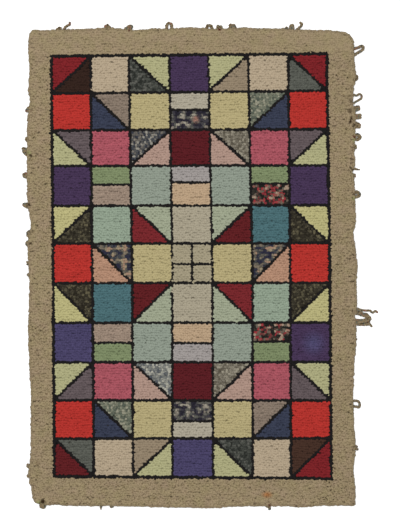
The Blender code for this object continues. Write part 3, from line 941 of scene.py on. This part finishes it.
class Wool:
    """A wool material, whose nodes are added one by one and wired as they are made."""

    def __init__(self, name, tint, roughness=0.95):
        self.material = bpy.data.materials.new(name)
        self.material.use_nodes = True
        self.tree = self.material.node_tree
        self.shader = self.tree.nodes["Principled BSDF"]
        self.shader.inputs["Roughness"].default_value = roughness
        self.shader.inputs["Specular IOR Level"].default_value = 0.06
        self.shader.inputs["Sheen Weight"].default_value = 0.1
        self.shader.inputs["Sheen Roughness"].default_value = 0.5
        self.shader.inputs["Sheen Tint"].default_value = tint
        self.object_place = self.add("ShaderNodeTexCoord").outputs["Object"]

    def add(self, kind, sockets=None, **settings):
        """A new node, with its settings and with what feeds each of its sockets."""
        node = self.tree.nodes.new(kind)
        for key, value in settings.items():
            setattr(node, key, value)
        for key, value in (sockets or {}).items():
            self.feed(node.inputs[key], value)
        return node

    def feed(self, socket, value):
        """Wires a node's output into a socket, or sets the socket to a plain value."""
        if isinstance(value, bpy.types.NodeSocket):
            self.tree.links.new(value, socket)
        else:
            socket.default_value = value

    def noise(self, size, detail=2):
        """Smooth noise whose bumps are about this large, from 0 to 1."""
        sockets = {"Vector": self.object_place, "Scale": 1 / size, "Detail": detail}
        return self.add("ShaderNodeTexNoise", sockets).outputs["Fac"]

    def attribute(self, name):
        """One of the loops' own numbers."""
        return self.add("ShaderNodeAttribute", attribute_name=name).outputs["Fac"]

    def axis(self, name):
        """One coordinate of the place on the rug."""
        return self.add("ShaderNodeSeparateXYZ", {0: self.object_place}).outputs[name]

    def spread(self, value, low, high, start=0, end=1, kind="LINEAR"):
        """A number from start to end turned into one from low to high."""
        sockets = {"Value": value, "From Min": start, "From Max": end, "To Min": low, "To Max": high}
        return self.add("ShaderNodeMapRange", sockets, interpolation_type=kind).outputs["Result"]

    def times(self, first, second):
        """Two numbers multiplied."""
        return self.add("ShaderNodeMath", {0: first, 1: second}, operation="MULTIPLY").outputs[0]

    def scaled(self, colour, factor):
        """A colour made lighter or darker."""
        sockets = {"Vector": colour, "Scale": factor}
        return self.add("ShaderNodeVectorMath", sockets, operation="SCALE").outputs[0]

    def mix(self, factor, first, second):
        """One colour laid over another."""
        return self.add("ShaderNodeMix", {0: factor, 6: first, 7: second}, data_type="RGBA").outputs[2]

    def near(self, x, y, radius, squash=1):
        """1 at a place on the rug, falling to 0 at a distance, which is shorter along the rug by squash."""
        sockets = {0: self.object_place, 1: (1, squash, 0)}
        flat = self.add("ShaderNodeVectorMath", sockets, operation="MULTIPLY").outputs[0]
        sockets = {0: flat, 1: (x, y * squash, 0)}
        away = self.add("ShaderNodeVectorMath", sockets, operation="DISTANCE").outputs["Value"]
        return self.spread(away, 1, 0, 0, radius, "SMOOTHSTEP")

    def ramp(self, value, stops, interpolation):
        """A colour looked up by a number, from stops given as (place, colour)."""
        node = self.add("ShaderNodeValToRGB", {"Fac": value})
        node.color_ramp.interpolation = interpolation
        elements = node.color_ramp.elements
        while len(elements) < len(stops):
            elements.new(1)
        for i, (place, colour) in enumerate(stops):
            elements[i].position = place
            elements[i].color = colour
        return node.outputs["Color"]

    def palette(self, colours, value):
        """One of several colours, picked by a number from 0 to 1."""
        stops = [(i / len(colours), reflectance(colour)) for i, colour in enumerate(colours)]
        return self.ramp(value, stops, "CONSTANT")

    def depth(self):
        """Painted shade: darker down between the loops, where less light reaches them, and full again on
        their backs.
        """
        stops = [(place, (level, level, level, 1)) for place, level in PAINTED_SHADE_STOPS]
        return self.ramp(self.times(self.axis("Z"), 1 / DEPTH_SPAN), stops, "LINEAR")

    def bump(self, height, strength, distance):
        """Raises the surface a little where height is high."""
        sockets = {"Height": height, "Strength": strength, "Distance": distance}
        self.feed(self.shader.inputs["Normal"], self.add("ShaderNodeBump", sockets).outputs["Normal"])

    def finish(self, colour, uneven):
        """Feeds the colour in, with each loop's own tone, its fibres and the painted shade between loops."""
        tone = self.spread(self.attribute("tone"), 1 - uneven, 1 + uneven)
        fibres = self.spread(self.noise(FIBRE_SIZE, 3), 0.9, 1.1)
        # Painted shade: the depth ramp darkens the colour low down between the loops
        lit = self.scaled(self.scaled(colour, tone), self.times(fibres, self.depth()))
        self.feed(self.shader.inputs["Base Color"], lit)
        self.bump(self.noise(FIBRE_BUMP, 4), 0.35, 0.3 * MM)
        return self.material


def reflectance(colour):
    """The linear reflectance that looks like this 0 to 255 colour under the scene's light."""
    linear = []
    for value in colour:
        level = value / 255
        linear.append(level / 12.92 if level <= 0.04045 else ((level + 0.055) / 1.055) ** 2.4)
    return (*(value / LIGHT_LEVEL for value in linear), 1)


def yarn_material(name):
    """The wool of one yarn of the pattern."""
    colours = YARNS[name]
    wool = Wool("wool_" + name, reflectance(colours[0]))
    if len(colours) > 1:
        reach = FLECKS[name][3]
        twist = wool.spread(wool.noise(TWIST_LENGTH), -reach, reach)
        pick = wool.add("ShaderNodeMath", {0: wool.attribute("shade"), 1: twist}, operation="ADD").outputs[0]
        return wool.finish(blotched(wool, name, wool.palette(colours, pick)), MOTTLED_TONES)
    colour = blotched(wool, name, reflectance(colours[0]))
    return wool.finish(colour, UNEVEN_TONES.get(name, USUAL_TONES))


def blotched(wool, name, colour):
    """A yarn's colour, with the blotch that one of its patches has."""
    if name not in BLOTCHES:
        return colour if isinstance(colour, bpy.types.NodeSocket) else colour[:3]
    facts = BLOTCHES[name]
    x, y = facts["at"]
    there = wool.times(wool.near(x * MM, y * MM, facts["reach"] * MM), facts["strength"])
    broken = wool.times(there, wool.spread(wool.noise(facts["grain"] * MM), *facts["spread"]))
    return wool.mix(broken, colour, reflectance(facts["colour"]))


def border_material():
    """The border's undyed wool: uneven in colour, dirty near the rim, with a rust stain at the bottom."""
    wool = Wool("wool_border", reflectance(YARNS["border"][0]))
    first, second = (reflectance(cast) for cast in BORDER_CASTS)
    colour = wool.mix(wool.spread(wool.noise(CAST_SIZE), *CAST_SPREAD), first, second)
    stain = wool.near(*STAIN["at"], STAIN["reach"], STAIN["squash"])
    colour = wool.mix(wool.times(stain, STAIN["strength"]), colour, reflectance(STAIN_COLOUR))
    for x, y in GREEN_PLACES:
        tinge = wool.times(wool.near(x * MM, y * MM, GREEN_REACH), GREEN_STRENGTH)
        colour = wool.mix(tinge, colour, reflectance(GREEN_COLOUR))
    specks = wool.spread(wool.noise(SPECK_SIZE), 0, 1, *SPECK_LEVELS)
    below, above = SPECKS_BELOW, SPECKS_ABOVE
    worn = wool.spread(wool.axis("Y"), below[1], above[1], below[0], above[0])
    colour = wool.mix(wool.times(specks, worn), colour, reflectance(SPECK_COLOUR))
    # The shade attribute holds the dirt spots, and the edge row's even darkening
    dirty = wool.times(wool.attribute("shade"), wool.spread(wool.noise(DIRT_SIZE), *DIRT_SPREAD))
    colour = wool.mix(dirty, colour, reflectance(DARK_DIRT))
    colour = wool.mix(wool.times(dirty, -1), colour, reflectance(RED_DIRT))
    return wool.finish(colour, BORDER_TONES)


def foundation_material():
    """Plain woven sacking under the pile, its upper side darker with painted shade from the pile over it and
    with some dust and fibres.
    """
    light, dark, top = (reflectance(tone) for tone in (SACKING_LIGHT, SACKING_DARK, SACKING_SHADED_TOP))
    wool = Wool("sacking", light, roughness=0.9)
    threads = []
    for axis in ("X", "Y"):
        sockets = {"Vector": wool.object_place, "Scale": 1 / THREAD_PITCH / 2, "Distortion": 0.6}
        wave = wool.add("ShaderNodeTexWave", sockets, bands_direction=axis)
        threads.append(wave.outputs["Fac"])
    weave = wool.add("ShaderNodeMath", {0: threads[0], 1: threads[1]}, operation="MAXIMUM").outputs[0]
    uneven = wool.spread(wool.noise(SACKING_BLEND, 3), 0.8, 1.15)
    # Painted shade: the sacking darkens towards its upper side, under the pile, with some dust and fibres
    upper = wool.spread(wool.axis("Z"), 0, 1, CLOTH_FOOT, CLOTH_TOP)
    colour = wool.mix(upper, wool.mix(weave, dark, light), top)
    wool.feed(wool.shader.inputs["Base Color"], wool.scaled(colour, uneven))
    wool.bump(weave, 0.8, 0.4 * MM)
    return wool.material


def strand_material():
    """The loose edging yarn: duller than the border, with dark brown patches that are partly its own dark
    spots and partly painted shade in its creases, greyish or pale in places.
    """
    wool = Wool("wool_strand", reflectance(STRAND_SHEEN))
    pale = wool.spread(wool.noise(STRAND_BLEND), *STRAND_SPREAD)
    colour = wool.mix(pale, reflectance(STRAND_DULL), reflectance(STRAND_PALE))
    # Painted shade: the dark brown patches darken the yarn as if in its creases, and partly stand for its
    # dark spots; the grey-green and reddish patches are stains
    for size, least, strength, stain_and_shade_colour in STRAND_STAINS_AND_SHADE:
        patch = wool.spread(wool.noise(size, 1), 0, 1, least, least + STAIN_AND_SHADE_FADE)
        colour = wool.mix(wool.times(patch, strength), colour, reflectance(stain_and_shade_colour))
    fibres = wool.spread(wool.noise(FIBRE_SIZE, 3), 0.8, 1.15)
    wool.feed(wool.shader.inputs["Base Color"], wool.scaled(colour, fibres))
    wool.bump(wool.noise(0.8 * MM, 4), 0.6, 0.6 * MM)
    return wool.material


def add_piece(name, mesh, material):
    """Links a mesh as a piece that rides on the rug."""
    mesh.materials.append(material)
    piece = bpy.data.objects.new(name, mesh)
    bpy.context.scene.collection.objects.link(piece)
    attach(piece, "root")
    return piece


def make_pile(random):
    """Every loop of the rug, as one piece for each yarn."""
    pile = Pile(random)
    hook_outlines(pile)
    for row, blocks in enumerate(CHART):
        for column, block in enumerate(blocks):
            hook_block(pile, row, column, block)
    hook_border(pile)
    clip_corners(pile)
    hook_edge(pile)
    border = border_material()
    pieces = []
    for name, loops in pile.loops.items():
        material = border if name.startswith("border") else yarn_material(name)
        mesh = build_loops("pile_" + name, loops, random)
        pieces.append(add_piece("pile_" + name, mesh, material))
    return pieces


def make_foundation(pile):
    """The cloth that the loops are hooked through, as one thin closed sheet."""
    outline = rim_outline(CLOTH_INSET)
    count = len(outline)
    places = [(*point, CLOTH_FOOT) for point in outline] + [(*point, CLOTH_TOP) for point in outline]
    faces = [tuple(reversed(range(count))), tuple(range(count, 2 * count))]
    for i in range(count):
        j = (i + 1) % count
        faces.append((i, j, count + j, count + i))
    mesh = bpy.data.meshes.new("foundation")
    mesh.from_pydata(places, [], faces)
    cloth = add_piece("foundation", mesh, foundation_material())
    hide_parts("rug")


def smooth_curve(points, step):
    """A smooth curve through the points, in even steps."""
    padded = [2 * points[0] - points[1], *points, 2 * points[-1] - points[-2]]
    curve = []
    for before, start, end, after in zip(padded, padded[1:], padded[2:], padded[3:]):
        count = max(1, round((end - start).length / step))
        for i in range(count):
            t = i / count
            curve.append(
                0.5
                * (
                    2 * start
                    + (end - before) * t
                    + (2 * before - 5 * start + 4 * end - after) * t**2
                    + (3 * start - 3 * end + after - before) * t**3
                )
            )
    return curve + [points[-1]]


def strand_path(side, place, route, lift=0):
    """A strand's middle line: on the floor outside the rim, and lifted into the edge row at its root."""
    facts = SIDES[side]
    path = []
    for along, out in route:
        at = (place + along) * MM
        near = max(rim_point(side, at + step, 0).dot(facts["out"]) for step in NEAR_RIM)
        flat = facts["along"] * at + facts["out"] * (near + ROOT_GAP + out * MM)
        path.append(flat.to_3d() + Vector((0, 0, STRAND_HEIGHT / 2 + lift)))
    inward = -facts["out"].to_3d() * ROOT_REACH + Vector((0, 0, ROOT_LIFT))
    path.insert(0, path[0] + inward)
    if route[-1][1] <= BACKING_OUT:
        path.append(path[-1] + inward)
    else:
        path.append(path[-1] + (path[-1] - path[-2]).normalized() * TIP_RUN)
    return path


def lump_route(route, tip, aside, length, bend):
    """The route of one strip of a lump, by how far aside it lies, its length and its bend."""
    last = len(route) - 1
    made = []
    for i, (along, out) in enumerate(route):
        narrowed = 1 - (1 - tip) * i / last
        made.append((along + aside * narrowed + bend * i / last, out * length))
    return made


def strips(side, place, strand, random):
    """A strand, or the strips that make up a lump, each as its path and its width in metres."""
    width, tip, route = strand
    if tip is None:
        return [(strand_path(side, place, route), width * STRAND_FULL * MM)]
    count = max(2, round(width / CLUMP_PITCH))
    made = []
    for i in range(count):
        part = (i + 0.5) / count - 0.5
        bend = CLUMP_BEND * random.normal()
        strip = lump_route(route, tip, part * width, CLUMP_LONG - CLUMP_UNEVEN * random.random(), bend)
        path = strand_path(side, place, strip, CLUMP_LIFT * (1 - 4 * part * part))
        made.append((path, width / count * CLUMP_CROWD * MM))
    return made


def strand_rings(path, width, seed):
    """Rings of points round a strand's path, knobbly and narrowed to its ends."""
    curve = smooth_curve(path, STRAND_STEP)
    places = np.cumsum([0] + [(b - a).length for a, b in zip(curve, curve[1:])])
    rings = []
    for i, point in enumerate(curve):
        run = curve[min(i + 1, len(curve) - 1)] - curve[max(i - 1, 0)]
        beside = run.cross(Vector((0, 0, 1))).normalized()
        over = beside.cross(run).normalized()
        end = min(places[i], places[-1] - places[i]) / max(TAPER, width * TAPER_SHARE)
        narrow = math.sqrt(max(LEAST_END, 1 - (1 - min(end, 1)) ** 2))
        ring = []
        for k in range(STRAND_SIDES):
            turn = 2 * math.pi * k / STRAND_SIDES
            reach = Vector((math.cos(turn) * width / 2, math.sin(turn) * STRAND_HEIGHT / 2)) * narrow
            lump = Vector((places[i] / KNOB_LENGTH, math.cos(turn), math.sin(turn) + seed))
            knob = 1 + KNOB * noise.noise(lump)
            ring.append(point + (beside * reach.x + over * reach.y) * knob)
        rings.append(ring)
    return rings


def strands_mesh(name, strands):
    """One mesh of several strands, each given as its path and width."""
    places, faces = [], []
    for seed, (path, width) in enumerate(strands):
        rings = strand_rings(path, width, seed * KNOB_SEED + len(name))
        first = len(places)
        places += [point for ring in rings for point in ring]
        for i in range(len(rings) - 1):
            for k in range(STRAND_SIDES):
                j = (k + 1) % STRAND_SIDES
                low, high = first + i * STRAND_SIDES, first + (i + 1) * STRAND_SIDES
                faces.append((low + k, low + j, high + j, high + k))
        faces.append(tuple(reversed(range(first, first + STRAND_SIDES))))
        faces.append(tuple(range(len(places) - STRAND_SIDES, len(places))))
    mesh = bpy.data.meshes.new(name)
    mesh.from_pydata(places, [], faces)
    mesh.shade_smooth()
    return mesh


def make_loose_yarn(random):
    """The loose strands along the rim, and the small tufts between them."""
    material = strand_material()
    for name, (place, strands) in LOOSE_YARN.items():
        side = name.split("_")[1]
        made = []
        for strand in strands:
            made += strips(side, place, strand, random)
        piece = add_piece("yarn_" + name, strands_mesh("yarn_" + name, made), material)
        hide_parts(name)
    for side, tufts in TUFTS.items():
        made = []
        for place, width, tip, out, lean in tufts:
            lump = (width, tip, [(0, 0), (lean / 2, out / 2), (lean, out)])
            made += strips(side, place, lump, random)
        add_piece("tufts_" + side, strands_mesh("tufts_" + side, made), material)


def make_floor():
    """A plain white floor under the rug."""
    mesh = bpy.data.meshes.new("floor")
    corners = [(x * FLOOR_REACH, y * FLOOR_REACH, -MM) for x, y in ((-1, -1), (1, -1), (1, 1), (-1, 1))]
    mesh.from_pydata(corners, [], [(0, 1, 2, 3)])
    material = bpy.data.materials.new("floor_paint")
    material.use_nodes = True
    shader = material.node_tree.nodes["Principled BSDF"]
    shader.inputs["Base Color"].default_value = (FLOOR_LEVEL, FLOOR_LEVEL, FLOOR_LEVEL, 1)
    shader.inputs["Roughness"].default_value = 1
    mesh.materials.append(material)
    floor = bpy.data.objects.new("floor", mesh)
    bpy.context.scene.collection.objects.link(floor)


def add_lamp(name, place, size, power):
    """A soft square lamp that faces the rug."""
    lamp = bpy.data.lights.new(name, "AREA")
    lamp.size = size
    lamp.energy = power
    fitting = bpy.data.objects.new(name, lamp)
    fitting.location = place
    fitting.rotation_euler = (-Vector(place)).to_track_quat("-Z", "Y").to_euler()
    bpy.context.scene.collection.objects.link(fitting)


def light_studio():
    """Soft, nearly frontal studio light on a white surround."""
    for name, (place, size, power) in LAMPS.items():
        add_lamp(name, place, size, power)
    world = bpy.data.worlds.new("studio")
    world.use_nodes = True
    background = world.node_tree.nodes["Background"]
    background.inputs["Color"].default_value = (1, 1, 1, 1)
    background.inputs["Strength"].default_value = SURROUND_STRENGTH
    bpy.context.scene.world = world
    bpy.context.scene.view_settings.view_transform = "Standard"


def place_camera():
    """Straight above the rug, as in the photograph."""
    camera = bpy.data.cameras.new("camera")
    camera.lens = CAMERA_LENS
    camera.sensor_width = CAMERA_SENSOR
    stand = bpy.data.objects.new("camera", camera)
    stand.location = (*FRAME_CENTRE, FRAME_HEIGHT * CAMERA_LENS / CAMERA_SENSOR)
    bpy.context.scene.collection.objects.link(stand)
    bpy.context.scene.camera = stand


def main():
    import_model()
    place_camera()
    light_studio()
    make_floor()
    random = np.random.default_rng(SEED)
    make_foundation(make_pile(random))
    make_loose_yarn(random)


main()
